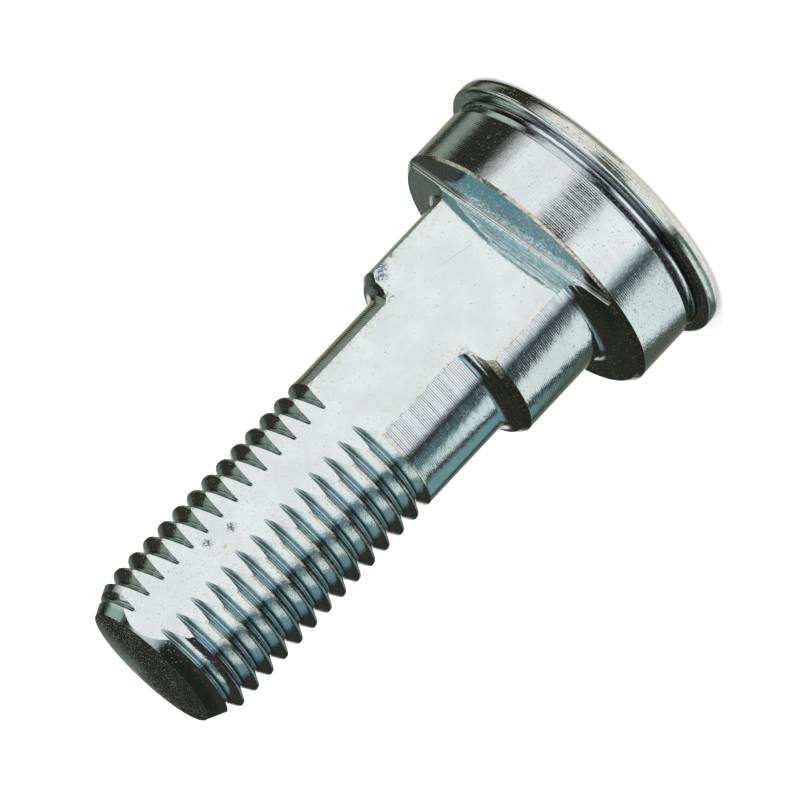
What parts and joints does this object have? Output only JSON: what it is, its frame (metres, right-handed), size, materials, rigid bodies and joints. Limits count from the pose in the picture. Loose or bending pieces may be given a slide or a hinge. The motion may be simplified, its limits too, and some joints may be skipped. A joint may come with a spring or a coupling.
{
  "type": "lock screw",
  "caption": "Steel lock screw: flanged round head, thick collar and plain shank ahead of a coarse thread, with one side milled flat along its length.",
  "frame": {"origin": "centre of the head's outer face, which the screw stands on", "axes": "+Z along the screw's axis from the head to the tip; -Y is the outward normal of the milled flat; +X completes the right-handed frame"},
  "size_m": [0.0302, 0.0302, 0.0586],
  "materials": {
    "zinc_plated_steel": "bright zinc plate with a faint blue tint, fine turning marks, small pits and light brown stains"
  },
  "bodies": {
    "root": {"lock_screw": "zinc_plated_steel"}
  },
  "joints": []
}
